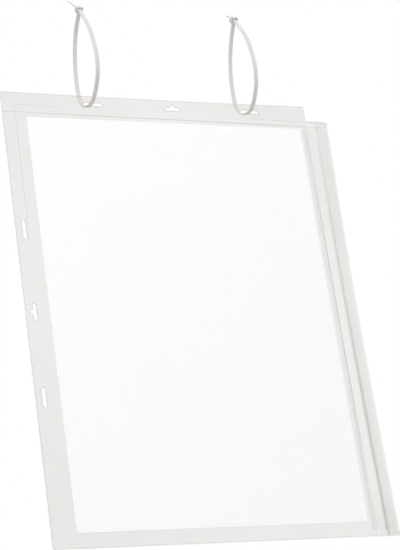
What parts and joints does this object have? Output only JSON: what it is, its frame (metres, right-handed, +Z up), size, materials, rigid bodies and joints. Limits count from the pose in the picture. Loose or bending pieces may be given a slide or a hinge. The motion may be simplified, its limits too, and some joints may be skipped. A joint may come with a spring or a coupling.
{
  "type": "hanging document pocket",
  "caption": "Clear welded plastic pocket that holds a sheet of paper upright, with a press-to-close side opening and hanging slots in its top and left margins, hung on cable tie loops.",
  "frame": {"origin": "top of the thin rail that the cable tie loops hang on, halfway between the slots that the ties pass through, in the plane of the pocket", "axes": "+Z up, +X towards the open side of the pocket, -Y the front of the pocket"},
  "size_m": [0.2494, 0.0452, 0.4127],
  "materials": {
    "film": "clear soft film, slightly grey",
    "zip": "milky clear extruded strip",
    "paper": "plain white",
    "nylon": "natural translucent nylon"
  },
  "bodies": {
    "ties": {"cable_tie_left": "nylon", "cable_tie_right": "nylon"},
    "pocket": {"back_film": "film", "front_film": "film", "zip_tape_back": "zip"},
    "lip": {"zip_tape_front": "zip"},
    "sheet": {"insert_sheet": "paper"}
  },
  "joints": [
    {"name": "pocket_swing", "type": "hinge", "parent": "ties", "child": "pocket", "pos_m": [0, 0, -0.07], "axis": [1, 0, 0], "range_deg": [-20, 20]},
    {"name": "zip_lip", "type": "hinge", "parent": "pocket", "child": "lip", "pos_m": [0.1028, -0.00095, -0.2305], "axis": [0, 0, -1], "range_deg": [0, 110]},
    {"name": "sheet_slide", "type": "slide", "parent": "pocket", "child": "sheet", "axis": [1, 0, 0], "range_m": [0, 0.235]}
  ],
  "couplings": [
    {"joint": "zip_lip", "follows": "sheet_slide", "rad_per_m": 8.16}
  ]
}
